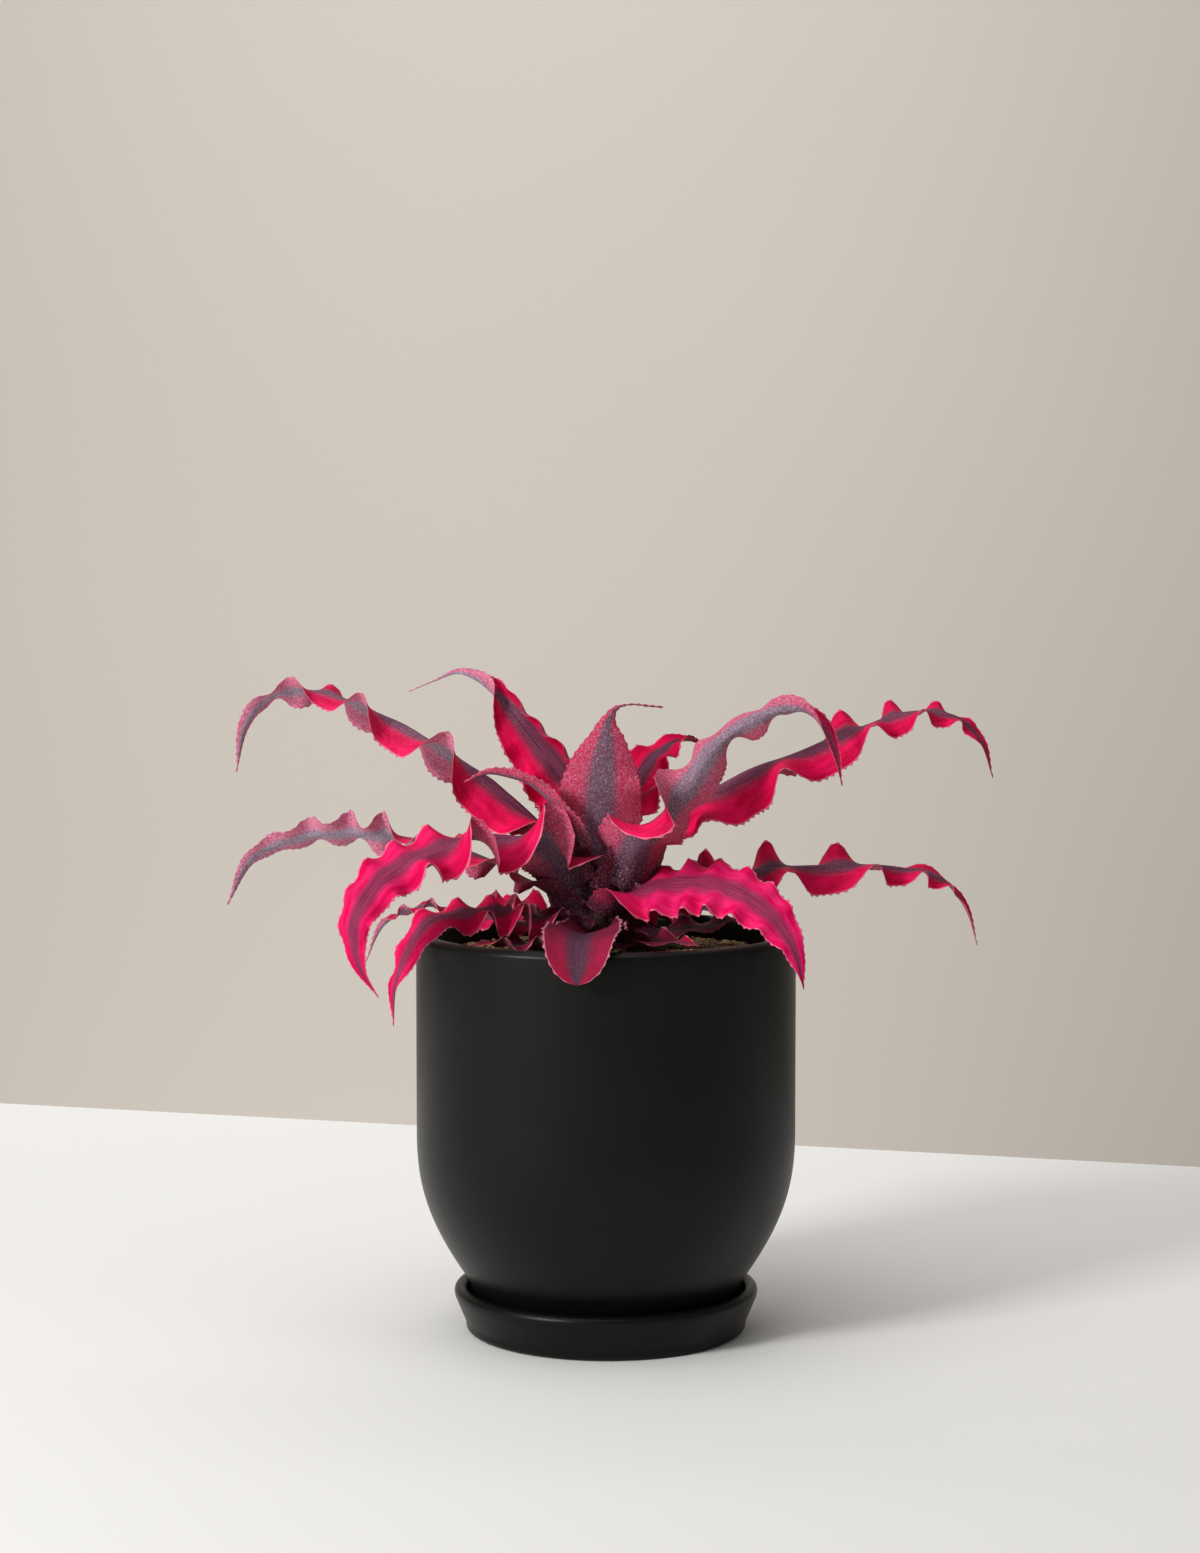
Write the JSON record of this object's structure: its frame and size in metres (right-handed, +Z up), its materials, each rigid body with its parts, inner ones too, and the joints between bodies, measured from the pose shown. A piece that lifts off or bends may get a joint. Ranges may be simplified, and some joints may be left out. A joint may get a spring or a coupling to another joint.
{
  "type": "potted bromeliad",
  "caption": "Pink earth star bromeliad with ruffled arching leaves in a matte black ceramic pot with a rounded bottom, on a matching flared saucer.",
  "frame": {"origin": "middle of the saucer's flat underside, on the surface that it stands on", "axes": "+Z up through the pot, -Y towards the front of the plant, +X to its right"},
  "size_m": [0.2588, 0.1797, 0.2213],
  "materials": {
    "black_ceramic": "matte",
    "potting_mix": "rough bark and sand",
    "stem_fibre": "fibrous",
    "pink_leaf": "satin leaf with a scurfy underside"
  },
  "bodies": {
    "root": {"saucer": "black_ceramic", "pot": "black_ceramic", "potting_soil": "potting_mix", "crown_stem": "stem_fibre", "leaf_upper_left": "pink_leaf", "leaf_upper_right_far": "pink_leaf", "leaf_right": "pink_leaf", "leaf_left": "pink_leaf", "leaf_front_right": "pink_leaf", "leaf_front_left": "pink_leaf", "leaf_low_front_left": "pink_leaf", "leaf_low_left": "pink_leaf", "leaf_upper_right": "pink_leaf", "leaf_centre": "pink_leaf", "leaf_back_left": "pink_leaf", "leaf_back_right_small": "pink_leaf", "leaf_young_left": "pink_leaf", "leaf_young_spike": "pink_leaf", "leaf_over_front_rim": "pink_leaf", "leaf_soil_right": "pink_leaf", "leaf_soil_front_right": "pink_leaf", "leaf_soil_left": "pink_leaf", "leaf_back": "pink_leaf", "leaf_back_low_right": "pink_leaf", "leaf_back_low_left": "pink_leaf"}
  },
  "joints": []
}
